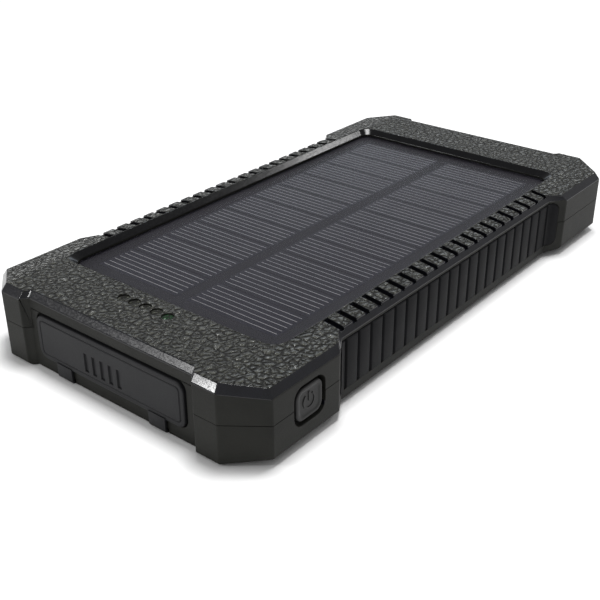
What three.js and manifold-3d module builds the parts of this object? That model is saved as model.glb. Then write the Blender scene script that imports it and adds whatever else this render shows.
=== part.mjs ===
// Solar phone charger: a slim rugged battery pack with a solar panel in its top face, a rubber
// port cover on one short end and a power button on one corner.
// Frame: +X to the button side, +Y away from the ports, +Z up. The origin is the middle of the
// underside. Millimetres.
import * as THREE from "three";
import { ConvexGeometry } from "three/addons/geometries/ConvexGeometry.js";
import { mergeVertices } from "three/addons/utils/BufferGeometryUtils.js";
import Module from "manifold-3d";

const wasm = await Module();
wasm.setup();

// ---- driving dimensions -------------------------------------------------------------------

const body = {
  length: 142,
  width: 75.4,
  height: 17,
  cornerX: 7.8, // corner cut, along X and along Y
  cornerY: 5.9,
  crownInset: 8.3, // the crowned strip starts this far in from the long edge
  topDrop: 0.95, // how far the top falls across that strip
  bottomRise: 1.3,
  bevelIn: 1.25,
  bevelDown: 1.65,
  footBevel: 0.6,
  wall: 1.8,
  floor: 2,
  roof: 2,
  railThickness: 2.45,
  partingHeight: 8.9,
  partingGap: 0.1,
};
const endRecess = { depth: 1.5, bumperFace: 5.7, ramp: 1.4, bevelIn: 1, bevelDown: 1.45 };
const sideRecess = { depth: 2.7, bumperFace: 18.9, ramp: 4.2, bevelIn: 0.85, bevelDown: 1.1 };
const windowFrame = {
  endBezel: 16, // width of the bezel at each end and at each side
  sideBezel: 7.7,
  radius: 3.5,
  slopeIn: 1.4,
  slopeDown: 1.25,
  lip: 0.45,
};
const slots = {
  pitch: 4.1,
  width: 1.4,
  depth: 0.9,
  fromWindow: 0.25,
  step: 0.4, // the ledge that the slots open onto lies this far below the top
  endLand: 0.5,
  breakOut: 0.1,
};
const panel = {
  overlap: 1.7, // how far the laminate runs under the lip
  sheet: 0.35,
  cell: 0.2,
  board: 1.2,
  rows: 10,
  columns: 2,
  endMargin: 3.95, // bare laminate inside the window, at each end and at each side
  sideMargin: 3.6,
  rowGap: 0.43,
  columnGap: 2.8,
};
const grip = {
  low: 3,
  high: 14.25,
  overRamp: 2.6, // how far each end runs up the ramp of a bumper
  seat: 0.8,
  proud: 0.25,
  grooveWidth: 0.8,
  grooveDepth: 0.45,
  radius: 1.8, // the rounded corners at its ends
};
const port = { low: 2.95, high: 13.25, surround: 1.95, pocketDepth: 1.3, wall: 1.5 };
const flap = { topGap: 0.3, thickness: 1.6, radius: 2, plugDepth: 0.8, rootRise: 1.3, rootProud: 0.2 };
const strap = { offset: 13.3, width: 4.5, thickness: 0.6, reach: 3.85, hingeGap: 0.45 };
const strapPeg = { half: 0.8, height: 1.3 };
const button = { fromEnd: 16.1, width: 7.5, height: 7, radius: 2, rim: 0.7, depth: 1.8, face: 0.15 };
const stem = { radius: 1.3, cap: 1.1, block: 6.5, guide: 1.7 };
const tact = { width: 6, height: 6, depth: 3.5, plunger: 1.2, reach: 1.1, travelRoom: 1.6, gap: 0.2 };
const lens = {
  count: 5,
  pitch: 3.1,
  radius: 1.2,
  flange: 1.45,
  fromEnd: 12,
  flangeHeight: 0.65,
  recess: 0.35,
};
const led = { width: 1.1, length: 1.9, height: 0.55, gap: 0.25 };
const ledBoard = { width: 24, depth: 5.4, thickness: 0.8, post: 1.1, postOffset: 10 };
const board = {
  thickness: 1.2,
  top: 5.8,
  halfWidth: 26,
  wingX: 1.6, // the wing under the switch ends this far short of the button's guide
  wingY: 3.8,
  behindSockets: 7.15,
  inset: 2.4,
};
const usb = { gap: 1.9, width: 13.1, height: 5.7, depth: 14, sheet: 0.3 };
const usbBlade = { width: 11.1, thickness: 1.8, drop: 0.75, setback: 1 };
const charge = { width: 7.5, height: 2.5, depth: 5.2, sheet: 0.3, chamfer: 0.8 };
const chargeBlade = { width: 3.6, thickness: 0.6, drop: 0.45, setback: 1 };
const battery = {
  sideRoom: 1.15, // room round the pouch: beside it, at its far end, over it and before it
  endRoom: 1.5,
  headroom: 0.9,
  boardGap: 1.9,
  radius: 1.8,
  pad: 0.8,
  padInset: 6,
};
const cellBoard = { width: 38, height: 6, thickness: 1 };
const screw = { fromSide: 6.5, fromEnd: 8.5, head: 2, headHeight: 1.3, shaft: 0.95, length: 10, sink: 1.6 };
const boss = { lower: 3, upper: 2.6, board: 1.8 };
const tongue = { thickness: 0.9, height: 1.2, overlap: 1.3 };
const lead = { radius: 0.55, panelInset: 4.4, boardInset: 3 };
const coil = { size: 6.6, height: 4, x: -18, gap: 0.2 };
const chip = { width: 5, length: 6.2, height: 1.4, gap: 3 };
const fit = 0.15; // clearance on each side of a piece that drops into a pocket
const seat = 0.05; // gap under a piece that rests on another

const halfWidth = body.width / 2;
const halfLength = body.length / 2;
const sideWallX = halfWidth - sideRecess.depth;
const endWallY = halfLength - endRecess.depth;
const roof = body.height - body.roof;
const rampStart = halfLength - body.cornerY - sideRecess.bumperFace - sideRecess.ramp;
const ledgeX = sideWallX - sideRecess.bevelIn;
const sheetTop = body.height - windowFrame.slopeDown - windowFrame.lip - seat;
const lipUnder = sheetTop + seat;
const boardTop = sheetTop - panel.sheet - panel.cell - 2 * seat;
const boardBottom = boardTop - panel.board;
const railCeiling = body.height - body.topDrop / 2 - body.railThickness;
const portInnerY = -endWallY + port.pocketDepth + port.wall;
const portHalf = halfWidth - body.cornerX - endRecess.bumperFace - endRecess.ramp - seat;
const flapHalf = portHalf - port.surround;
const flapBackY = -endWallY + port.pocketDepth - fit;
const flapLow = port.low + fit;
const socketFrontY = -endWallY + port.pocketDepth + fit;
const usbX = charge.width / 2 + usb.gap + usb.width / 2;
const boardBackY = socketFrontY + usb.depth + board.behindSockets;
const buttonY = -halfLength + button.fromEnd;
const guideX = halfWidth - button.depth - stem.guide;
const screwX = halfWidth - screw.fromSide;
const screwY = halfLength - screw.fromEnd;
const batteryFrontY = boardBackY + battery.boardGap;
const batteryBackY = screwY - boss.lower - battery.endRoom;
const batteryHalf = sideWallX - body.wall - fit - tongue.thickness - battery.sideRoom;
const batteryLow = body.floor + battery.pad + 2 * seat;
const batteryTop = boardBottom - battery.headroom;
const flangeTop = roof - 2 * seat;
const lensBase = flangeTop - lens.flangeHeight;
const ledBoardTop = lensBase - led.gap - led.height - seat;
const windowHalf = { x: halfWidth - windowFrame.sideBezel, y: halfLength - windowFrame.endBezel };
const openHalf = { x: windowHalf.x - windowFrame.slopeIn, y: windowHalf.y - windowFrame.slopeIn };
const laminateHalf = { x: openHalf.x + panel.overlap, y: openHalf.y + panel.overlap };
const rowPitch = (2 * (openHalf.y - panel.endMargin)) / panel.rows;
const cellLength = rowPitch - panel.rowGap;
const columnPitch = (2 * (openHalf.x - panel.sideMargin) + panel.columnGap) / panel.columns;
const cellWidth = columnPitch - panel.columnGap;
const slotCount = 1 + 2 * Math.floor((rampStart - slots.endLand) / slots.pitch);

// ---- solids -------------------------------------------------------------------------------

function toSolid(geometry) {
  const loose = geometry.index ? geometry.toNonIndexed() : geometry;
  const bare = new THREE.BufferGeometry();
  bare.setAttribute("position", loose.getAttribute("position"));
  const merged = mergeVertices(bare, 1e-4);
  return new wasm.Manifold(
    new wasm.Mesh({
      numProp: 3,
      vertProperties: new Float32Array(merged.attributes.position.array),
      triVerts: new Uint32Array(merged.index.array),
    }),
  );
}

function toGeometry(solid) {
  const mesh = solid.getMesh();
  const geometry = new THREE.BufferGeometry();
  geometry.setAttribute("position", new THREE.BufferAttribute(new Float32Array(mesh.vertProperties), 3));
  geometry.setIndex(new THREE.BufferAttribute(new Uint32Array(mesh.triVerts), 1));
  geometry.computeVertexNormals();
  return geometry;
}

function box(low, high) {
  const size = low.map((value, i) => high[i] - value);
  const geometry = new THREE.BoxGeometry(...size);
  geometry.translate(...low.map((value, i) => value + size[i] / 2));
  return toSolid(geometry);
}

function hull(points) {
  return toSolid(new ConvexGeometry(points.map((p) => new THREE.Vector3(...p))));
}

function shapeOf(points) {
  return new THREE.Shape(points.map(([x, y]) => new THREE.Vector2(x, y)));
}

function roundedShape(halfX, halfY, radius) {
  const shape = new THREE.Shape();
  const right = halfX - radius;
  const top = halfY - radius;
  shape.absarc(right, top, radius, 0, Math.PI / 2);
  shape.absarc(-right, top, radius, Math.PI / 2, Math.PI);
  shape.absarc(-right, -top, radius, Math.PI, 1.5 * Math.PI);
  shape.absarc(right, -top, radius, 1.5 * Math.PI, 2 * Math.PI);
  shape.closePath();
  return shape;
}

function extruded(shape, depth, curveSegments = 5) {
  return new THREE.ExtrudeGeometry(shape, { depth, curveSegments, bevelEnabled: false });
}

// A prism that stands on the plane z = low.
function prismZ(shape, low, high, curveSegments) {
  return toSolid(extruded(shape, high - low, curveSegments).translate(0, 0, low));
}

// A prism along X: the shape's x and y become Y and Z.
function prismX(shape, low, high, curveSegments) {
  const geometry = extruded(shape, high - low, curveSegments);
  geometry.rotateZ(Math.PI / 2);
  geometry.rotateY(Math.PI / 2);
  return toSolid(geometry.translate(low, 0, 0));
}

// A prism along Y: the shape's x and y become X and Z.
function prismY(shape, low, high, curveSegments) {
  const geometry = extruded(shape, high - low, curveSegments);
  geometry.rotateX(Math.PI / 2);
  return toSolid(geometry.translate(0, high, 0));
}

function rodZ(x, y, radius, low, high, sides = 20) {
  const geometry = new THREE.CylinderGeometry(radius, radius, high - low, sides);
  geometry.rotateX(Math.PI / 2);
  return toSolid(geometry.translate(x, y, (low + high) / 2));
}

function rodX(y, z, radius, low, high, sides = 20) {
  const geometry = new THREE.CylinderGeometry(radius, radius, high - low, sides);
  geometry.rotateZ(Math.PI / 2);
  return toSolid(geometry.translate((low + high) / 2, y, z));
}

function fourCorners(points) {
  return points.flatMap(([x, y, z]) => [[x, y, z], [-x, y, z], [x, -y, z], [-x, -y, z]]);
}

// ---- the outline in plan ------------------------------------------------------------------

// One quarter of the outline, from the middle of the long side to the middle of the short end.
function quarterOutline() {
  const bumperY = rampStart + sideRecess.ramp;
  const bumperX = halfWidth - body.cornerX - endRecess.bumperFace;
  return [
    [sideWallX, rampStart],
    [halfWidth, bumperY],
    [halfWidth, halfLength - body.cornerY],
    [halfWidth - body.cornerX, halfLength],
    [bumperX, halfLength],
    [bumperX - endRecess.ramp, endWallY],
  ];
}

function bodyOutline() {
  const quarter = quarterOutline();
  const back = [...quarter].reverse();
  return [
    ...quarter,
    ...back.map(([x, y]) => [-x, y]),
    ...quarter.map(([x, y]) => [-x, -y]),
    ...back.map(([x, y]) => [x, -y]),
  ];
}

// Moves every edge of an anticlockwise outline inwards by distance.
function insetOutline(points, distance) {
  const edges = points.map(([x, y], i) => {
    const [nextX, nextY] = points[(i + 1) % points.length];
    const length = Math.hypot(nextX - x, nextY - y);
    const normal = [(y - nextY) / length, (nextX - x) / length];
    return { normal, offset: normal[0] * x + normal[1] * y + distance };
  });
  return points.map((_, i) => {
    const a = edges[(i + points.length - 1) % points.length];
    const b = edges[i];
    const det = a.normal[0] * b.normal[1] - a.normal[1] * b.normal[0];
    const x = (a.offset * b.normal[1] - b.offset * a.normal[1]) / det;
    const y = (b.offset * a.normal[0] - a.offset * b.normal[0]) / det;
    return [x, y];
  });
}

function topAt(x) {
  const start = halfWidth - body.crownInset;
  const run = body.crownInset - body.bevelIn;
  return body.height - (body.topDrop * Math.max(0, Math.abs(x) - start)) / run;
}

// The outer form: a bevelled block with cut corners, crowned towards its long edges.
function outerBlock() {
  const { bevelIn, bevelDown, footBevel } = body;
  const endX = halfWidth - body.cornerX;
  const sideY = halfLength - body.cornerY;
  const slant = (bevelIn * body.cornerX) / (body.cornerX + body.cornerY);
  const points = [
    [endX - slant / 2, halfLength - bevelIn, body.height],
    [halfWidth - bevelIn, sideY - slant / 2, body.height - body.topDrop],
    [endX, halfLength, body.height - bevelDown],
    [halfWidth, sideY, body.height - body.topDrop - bevelDown],
    [endX, halfLength, footBevel],
    [halfWidth, sideY, body.bottomRise + footBevel],
    [endX - footBevel / 2, halfLength - footBevel, 0],
    [halfWidth - footBevel, sideY - footBevel / 2, body.bottomRise],
  ];
  return hull(fourCorners(points));
}

// The recess between two bumpers on a short end (at +Y), bevelled at its top edge.
function endRecessCutter() {
  const [, , , , face, corner] = quarterOutline();
  const bevelTop = body.height + 0.5;
  const bevelLow = body.height - endRecess.bevelDown;
  const slide = (endRecess.bevelIn * (bevelTop - bevelLow)) / endRecess.bevelDown;
  const reach = endRecess.depth + 1;
  const outX = corner[0] + ((face[0] - corner[0]) * reach) / endRecess.depth;
  const ring = (inward, z) => [
    [corner[0], corner[1] - inward, z],
    [-corner[0], corner[1] - inward, z],
    [outX, corner[1] + reach, z],
    [-outX, corner[1] + reach, z],
  ];
  const wall = hull([...ring(0, -1), ...ring(0, bevelLow)]);
  const bevel = hull([...ring(0, bevelLow), ...ring(slide, bevelTop)]);
  return wall.add(bevel);
}

// The long recess between two bumpers (at +X), with the ledge below the rail's ribs.
function sideRecessCutter() {
  const [corner, face] = quarterOutline();
  const ledgeZ = topAt(ledgeX) - slots.step;
  const bevelLow = ledgeZ - sideRecess.bevelDown;
  const reach = sideRecess.depth + 1;
  const outY = corner[1] + ((face[1] - corner[1]) * reach) / sideRecess.depth;
  const ring = (x, z) => [
    [x, corner[1], z],
    [x, -corner[1], z],
    [corner[0] + reach, outY, z],
    [corner[0] + reach, -outY, z],
  ];
  const wall = hull([...ring(corner[0], -1), ...ring(corner[0], bevelLow)]);
  const bevel = hull([...ring(corner[0], bevelLow), ...ring(ledgeX, ledgeZ)]);
  const step = hull([...ring(ledgeX, ledgeZ), ...ring(ledgeX, body.height + 1)]);
  return wall.add(bevel).add(step);
}

function shellBlock() {
  const ends = endRecessCutter();
  const sides = sideRecessCutter();
  return outerBlock()
    .subtract(ends)
    .subtract(ends.mirror([0, 1, 0]))
    .subtract(sides)
    .subtract(sides.mirror([1, 0, 0]));
}

// ---- cuts and features shared by the two shells -------------------------------------------

function windowCutter() {
  const rise = windowFrame.slopeDown + 0.5;
  const slope = windowFrame.slopeIn / windowFrame.slopeDown;
  const lipTop = body.height - windowFrame.slopeDown;
  const corner = (inset, z) =>
    roundedShape(windowHalf.x - inset, windowHalf.y - inset, windowFrame.radius - inset / 2)
      .getPoints(4)
      .map((p) => [p.x, p.y, z]);
  const funnel = hull([
    ...corner(windowFrame.slopeIn, lipTop),
    ...corner(windowFrame.slopeIn - slope * rise, lipTop + rise),
  ]);
  const throat = roundedShape(openHalf.x, openHalf.y, windowFrame.radius - windowFrame.slopeIn / 2);
  return funnel.add(prismZ(throat, lipUnder - 1, lipTop + 0.01, 4));
}

function slotCutters() {
  const start = windowHalf.x + slots.fromWindow;
  const end = ledgeX + slots.breakOut;
  let all = null;
  for (let i = 0; i < slotCount; i += 1) {
    const y = (i - (slotCount - 1) / 2) * slots.pitch;
    const half = slots.width / 2;
    const cut = hull([
      ...[start, end].flatMap((x) => [
        [x, y - half, topAt(x) - slots.depth],
        [x, y + half, topAt(x) - slots.depth],
        [x, y - half, topAt(x) + 1],
        [x, y + half, topAt(x) + 1],
      ]),
    ]);
    all = all ? all.add(cut) : cut;
  }
  return all.add(all.mirror([1, 0, 0]));
}

// The strip of plan between two offsets of the +X side of the outline.
function sideStrip(inward, outward, reach) {
  const edge = (offset) => {
    const outline = insetOutline(bodyOutline(), offset);
    const [corner, face] = outline;
    const slope = (face[0] - corner[0]) / (face[1] - corner[1]);
    return [
      [corner[0], corner[1]],
      [corner[0] + (reach - corner[1]) * slope, reach],
    ];
  };
  const inner = edge(inward);
  const outer = edge(-outward);
  return [
    [inner[1][0], -inner[1][1]],
    [outer[1][0], -outer[1][1]],
    [outer[0][0], -outer[0][1]],
    outer[0],
    outer[1],
    inner[1],
    inner[0],
    [inner[0][0], -inner[0][1]],
  ];
}

// A strip of the side, with the four corners that its ends show rounded.
function gripPrism(points, gap) {
  const reach = rampStart + grip.overRamp - gap;
  const half = (grip.high - grip.low) / 2 - gap / 2;
  const middle = (grip.high + grip.low) / 2;
  const frame = prismX(roundedShape(reach, half, grip.radius), 0, halfWidth + 3, 4);
  return prismZ(shapeOf(points), grip.low, grip.high).intersect(frame.translate([0, 0, middle]));
}

function gripPocket() {
  return gripPrism(sideStrip(grip.seat, 2, rampStart + grip.overRamp), 0);
}

function buttonPocketShape() {
  const rim = button.rim;
  return roundedShape(button.width / 2 + rim, button.height / 2 + rim, button.radius + rim / 2);
}

function buttonCutter() {
  const middle = (solid) => solid.translate([0, buttonY, body.partingHeight]);
  const pocket = middle(prismX(buttonPocketShape(), halfWidth - button.depth, halfWidth + 1, 4));
  const hole = rodX(0, 0, stem.radius + 2 * fit, guideX - 1, halfWidth);
  return pocket.add(middle(hole));
}

function buttonBlock(low, high) {
  const outside = halfWidth - body.wall / 2;
  return box([guideX, buttonY - stem.block, low], [outside, buttonY + stem.block, high]);
}

function screwPlaces() {
  return [
    [screwX, screwY],
    [-screwX, screwY],
    [screwX, -screwY],
    [-screwX, -screwY],
  ];
}

function gapBox(low, high) {
  return box([-halfWidth - 1, -halfLength - 1, low], [halfWidth + 1, halfLength + 1, high]);
}

// ---- shells -------------------------------------------------------------------------------

function topShell(block) {
  const parting = body.partingHeight + body.partingGap / 2;
  const cavity = shapeOf(insetOutline(bodyOutline(), body.wall));
  const pocketX = laminateHalf.x + 2 * fit;
  const pocketY = laminateHalf.y + 2 * fit;
  const endSpaceX = sideWallX - body.wall - 9;
  const endSpaceY = endWallY - body.wall;
  let shell = block
    .subtract(gapBox(-1, parting))
    .subtract(prismZ(cavity, 0, railCeiling))
    .subtract(box([-pocketX, -pocketY, railCeiling - 1], [pocketX, pocketY, lipUnder]))
    .subtract(box([-endSpaceX, -endSpaceY, railCeiling - 1], [endSpaceX, -pocketY + 1, roof]))
    .subtract(box([-endSpaceX, pocketY - 1, railCeiling - 1], [endSpaceX, endSpaceY, roof]))
    .add(buttonBlock(parting, railCeiling + 0.1));
  for (const [x, y] of screwPlaces()) {
    shell = shell.add(rodZ(x, y, boss.upper, parting, railCeiling + 0.1, 16));
  }
  for (const side of [-1, 1]) {
    const postX = side * ledBoard.postOffset;
    shell = shell.add(rodZ(postX, lensY(), ledBoard.post, ledBoardTop + seat, roof + 0.1, 12));
  }
  const notch = portHalf + seat;
  shell = shell
    .subtract(box([-notch, -halfLength, 0], [notch, portInnerY + fit, port.high + 0.1]))
    .subtract(windowCutter())
    .subtract(slotCutters())
    .subtract(buttonCutter())
    .subtract(gripPocket())
    .subtract(gripPocket().mirror([1, 0, 0]));
  for (const [x, y] of screwPlaces()) {
    shell = shell.subtract(rodZ(x, y, screw.shaft + fit, 0, screw.sink + screw.length + 1, 12));
  }
  for (let i = 0; i < lens.count; i += 1) {
    shell = shell.subtract(rodZ(lensX(i), lensY(), lens.radius + fit / 2, lensBase, body.height + 1, 20));
  }
  return shell;
}

// The wall that holds the ports, with the shallow pocket that the cover closes.
function portWall() {
  const wall = box([-portHalf, -endWallY, body.floor], [portHalf, portInnerY, port.high]);
  const half = (port.high - port.low) / 2 + 0.1;
  const pocket = roundedShape(flapHalf + 2 * fit, half, flap.radius + fit);
  const middle = (solid) => solid.translate([0, 0, port.low + half]);
  return wall.subtract(middle(prismY(pocket, -halfLength, -endWallY + port.pocketDepth, 4)));
}

function portOpenings() {
  const cut = (x, width, height) => {
    const half = width / 2 + fit;
    const low = board.top - fit;
    return box([x - half, -halfLength, low], [x + half, portInnerY + 1, low + height + 2 * fit]);
  };
  return cut(-usbX, usb.width, usb.height)
    .add(cut(usbX, usb.width, usb.height))
    .add(cut(0, charge.width, charge.height));
}

// The lip that locates the top shell, along the long sides and the far end.
function locatingTongue() {
  const outline = bodyOutline();
  const ring = (outer, inner, low, high) =>
    prismZ(shapeOf(insetOutline(outline, outer)), low, high).subtract(
      prismZ(shapeOf(insetOutline(outline, inner)), low - 1, high + 1),
    );
  const inner = body.wall + fit + tongue.thickness;
  const low = body.partingHeight - tongue.overlap;
  const shut = body.partingHeight - body.partingGap / 2;
  const root = ring(body.wall - 0.2, inner, low, shut);
  const lip = ring(body.wall + fit, inner, low, body.partingHeight + tongue.height);
  const keep = box([-halfWidth, batteryFrontY, 0], [halfWidth, halfLength, body.height]);
  return root.add(lip).intersect(keep);
}

function strapPockets() {
  let all = null;
  for (const side of [-1, 1]) {
    const x = side * strap.offset;
    const half = strap.width / 2 + fit;
    const back = -endWallY + strap.reach - strap.thickness + fit;
    const leg = box([x - half, -halfLength, -1], [x + half, back, strap.thickness + 2 * fit]);
    const pegHalf = strapPeg.half + fit;
    const pegTop = strapPeg.height + fit;
    const hole = box([x - pegHalf, back - 2 * pegHalf, 0], [x + pegHalf, back - 0.01, pegTop]);
    const both = leg.add(hole);
    all = all ? all.add(both) : both;
  }
  return all;
}

function bottomShell(block) {
  const parting = body.partingHeight - body.partingGap / 2;
  const cavity = shapeOf(insetOutline(bodyOutline(), body.wall));
  const boardUnder = board.top - board.thickness - seat;
  const wallBlock = box([-portHalf, -endWallY, 0.1], [portHalf, portInnerY, parting]);
  let shell = block
    .subtract(gapBox(parting, body.height + 1))
    .subtract(prismZ(cavity, body.floor, body.height))
    .add(buttonBlock(body.floor - 0.1, parting));
  shell = shell.add(wallBlock.intersect(block)).subtract(flapPocketCutter()).add(portWall());
  for (const [x, y] of screwPlaces()) {
    shell = shell.add(rodZ(x, y, boss.lower, 1.2, parting, 16));
  }
  for (const [x, y] of boardPosts()) {
    shell = shell.add(rodZ(x, y, boss.board, body.floor - 0.1, boardUnder, 12));
  }
  shell = shell
    .add(locatingTongue())
    .subtract(portOpenings())
    .subtract(buttonCutter())
    .subtract(strapPockets())
    .subtract(gripPocket())
    .subtract(gripPocket().mirror([1, 0, 0]));
  for (const [x, y] of screwPlaces()) {
    shell = shell
      .subtract(rodZ(x, y, screw.shaft + 2 * fit, -1, body.height, 12))
      .subtract(rodZ(x, y, screw.head + 2 * fit, -1, screw.sink + seat, 20));
  }
  return shell;
}

function flapPocketCutter() {
  const half = flapHalf + 2 * fit;
  return box([-half, -halfLength, port.low], [half, -endWallY + port.pocketDepth, body.height]);
}

function boardPosts() {
  const x = board.halfWidth - board.inset;
  const front = portInnerY + fit + board.inset;
  const back = boardBackY - board.inset;
  return [
    [-x, front],
    [x, front],
    [-x, back],
    [x, back],
  ];
}

// ---- outer pieces -------------------------------------------------------------------------

// A rubber side grip whose grooves line up with the slots in the rail above it.
function sideGrip() {
  const inward = grip.seat - fit / 2;
  const reach = rampStart + grip.overRamp - 2 * fit;
  const strip = sideStrip(inward, grip.proud, reach);
  const faceX = strip[2][0];
  const edge = [];
  for (let i = 0; i < slotCount; i += 1) {
    const y = (i - (slotCount - 1) / 2) * slots.pitch;
    const half = grip.grooveWidth / 2;
    edge.push([faceX, y - half]);
    edge.push([faceX - grip.grooveDepth, y - half * 0.6]);
    edge.push([faceX - grip.grooveDepth, y + half * 0.6]);
    edge.push([faceX, y + half]);
  }
  const limit = strip[3][1];
  const middle = edge.filter(([, y]) => Math.abs(y) < limit - 0.2);
  const outline = [...strip.slice(0, 3), ...middle, ...strip.slice(3)];
  return gripPrism(outline, 2 * fit);
}

// The rubber port cover: a plate with two strap roots outside and three plugs inside.
function portFlap() {
  const half = (port.high - flap.topGap - flapLow) / 2;
  const plate = roundedShape(flapHalf, half, flap.radius);
  const outerY = flapBackY - flap.thickness;
  let piece = prismY(plate, outerY, flapBackY, 5).translate([0, 0, flapLow + half]);
  const plug = (x, z, width, height) => {
    const low = [x - width / 2, flapBackY - 0.1, z - height / 2];
    return box(low, [x + width / 2, flapBackY + flap.plugDepth, z + height / 2]);
  };
  const usbMiddle = board.top + usb.height / 2;
  const mouth = { width: usb.width - 2 * usb.sheet, height: usb.height - 2 * usb.sheet };
  for (const side of [-1, 1]) {
    piece = piece.add(plug(side * usbX, usbMiddle, mouth.width - 4 * fit, mouth.height - 5 * fit));
    const x = side * strap.offset;
    const root = box(
      [x - strap.width / 2, outerY - flap.rootProud, port.low],
      [x + strap.width / 2, outerY + flap.rootProud, flapLow + flap.rootRise],
    );
    piece = piece.add(root);
  }
  const slimMiddle = board.top + charge.height / 2;
  return piece.add(plug(0, slimMiddle, charge.width - 2, charge.height - 1.5));
}

// The anchored end of a cover strap: it folds under the rim and ends in a peg.
function flapStrap() {
  const outerY = -endWallY - strap.thickness - seat;
  const backY = -endWallY + strap.reach - strap.thickness;
  const half = strap.width / 2;
  const top = port.low - fit - strap.hingeGap;
  const upright = box([-half, outerY, seat], [half, outerY + strap.thickness, top]);
  const leg = box([-half, outerY, seat], [half, backY, seat + strap.thickness]);
  const pegFront = backY - 2 * strapPeg.half;
  const peg = box([-strapPeg.half, pegFront, seat], [strapPeg.half, backY, strapPeg.height]);
  return upright.add(leg).add(peg);
}

// The button cap sits in its pocket with room to travel, and its stem reaches the switch.
function powerButton() {
  const shape = roundedShape(button.width / 2, button.height / 2, button.radius);
  const face = halfWidth - button.face;
  const cap = prismX(shape, face - stem.cap, face, 5);
  const tip = tactFaceX() + tact.reach + seat;
  return cap.add(rodX(0, 0, stem.radius, tip, face - stem.cap / 2, 16));
}

function tactFaceX() {
  return guideX - fit - tact.reach - tact.gap;
}

function switchBody() {
  const face = tactFaceX();
  const half = tact.width / 2;
  const low = board.top + seat - body.partingHeight;
  const shell = box([face - tact.depth, -half, low], [face, half, low + tact.height]);
  return shell.subtract(rodX(0, 0, tact.plunger + fit, face - tact.travelRoom - 0.5, face + 1, 16));
}

function switchPlunger() {
  const face = tactFaceX();
  return rodX(0, 0, tact.plunger, face - tact.travelRoom + 0.6, face + tact.reach, 16);
}

function lensX(index) {
  return (index - (lens.count - 1) / 2) * lens.pitch;
}

function lensY() {
  return -halfLength + lens.fromEnd;
}

function indicatorLens() {
  const top = body.height - lens.recess;
  const profile = [
    [0, lensBase],
    [lens.flange, lensBase],
    [lens.flange, flangeTop],
    [lens.radius, flangeTop],
    [lens.radius, top],
    [0, top],
  ];
  const points = profile.map(([x, y]) => new THREE.Vector2(x, y));
  return new THREE.LatheGeometry(points, 20).rotateX(Math.PI / 2);
}

// ---- the panel ----------------------------------------------------------------------------

function laminate(low, high, inset) {
  const shape = roundedShape(laminateHalf.x - inset, laminateHalf.y - inset, 1.5);
  return prismZ(shape, low, high, 3);
}

function cellPlace(column, row) {
  const x = (column - (panel.columns - 1) / 2) * columnPitch;
  const y = (row - (panel.rows - 1) / 2) * rowPitch;
  return [x, y, boardTop + seat + panel.cell / 2];
}

// ---- inner pieces -------------------------------------------------------------------------

function mainBoard() {
  const half = board.halfWidth;
  const wing = guideX - board.wingX;
  const wingStart = buttonY - board.wingY;
  const front = portInnerY + fit;
  const outline = [
    [-half, front],
    [half, front],
    [half, wingStart],
    [wing, wingStart],
    [wing, boardBackY],
    [-half, boardBackY],
  ];
  return prismZ(shapeOf(outline), board.top - board.thickness, board.top);
}

function usbSocket() {
  const low = board.top + seat;
  const front = socketFrontY;
  const half = usb.width / 2;
  const t = usb.sheet;
  const back = front + usb.depth;
  const can = box([-half, front, low], [half, back, low + usb.height]);
  const hollow = box([-half + t, front - 1, low + t], [half - t, back - 1.5, low + usb.height - t]);
  const bladeTop = low + usb.height - t - usbBlade.drop;
  const bladeHalf = usbBlade.width / 2;
  const blade = box(
    [-bladeHalf, front + usbBlade.setback, bladeTop - usbBlade.thickness],
    [bladeHalf, back - 1, bladeTop],
  );
  return can.subtract(hollow).add(blade);
}

function chargeSocket() {
  const low = board.top + seat;
  const front = socketFrontY;
  const outline = (inset) => {
    const half = charge.width / 2 - inset;
    const cut = charge.chamfer;
    return [
      [-half + cut, low + inset],
      [half - cut, low + inset],
      [half, low + inset + cut],
      [half, low + charge.height - inset],
      [-half, low + charge.height - inset],
      [-half, low + inset + cut],
    ];
  };
  const can = prismY(shapeOf(outline(0)), front, front + charge.depth);
  const hollow = prismY(shapeOf(outline(charge.sheet)), front - 1, front + charge.depth - 0.8);
  const bladeTop = low + charge.height - charge.sheet - chargeBlade.drop;
  const bladeHalf = chargeBlade.width / 2;
  const blade = box(
    [-bladeHalf, front + chargeBlade.setback, bladeTop - chargeBlade.thickness],
    [bladeHalf, front + charge.depth - 0.5, bladeTop],
  );
  return can.subtract(hollow).add(blade);
}

function inductor() {
  return extruded(roundedShape(coil.size / 2, coil.size / 2, 1.4), coil.height, 3);
}

function batteryPouch() {
  const shape = roundedShape(batteryHalf, (batteryTop - batteryLow) / 2, battery.radius);
  return prismY(shape, batteryFrontY, batteryBackY, 4).translate([0, 0, (batteryTop + batteryLow) / 2]);
}

function batteryPad() {
  const inset = battery.padInset;
  const low = body.floor + seat;
  const half = batteryHalf - inset;
  return box([-half, batteryFrontY + inset, low], [half, batteryBackY - inset, low + battery.pad]);
}

function wire(points) {
  const path = new THREE.CatmullRomCurve3(points.map((p) => new THREE.Vector3(...p)));
  const section = new THREE.Shape();
  section.absarc(0, 0, lead.radius, 0, 2 * Math.PI);
  return new THREE.ExtrudeGeometry(section, { steps: 14, curveSegments: 4, extrudePath: path });
}

// From the cell's protection board down to the main board.
function batteryLead(x) {
  const start = batteryFrontY - cellBoard.thickness - 3 * seat;
  const foot = board.top + seat;
  const height = (batteryTop + batteryLow) / 2;
  return wire([
    [x, start, height],
    [x, start - 1.2, height - 0.3],
    [x, start - 2, foot + 1.2],
    [x, start - 2.1, foot],
  ]);
}

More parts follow.
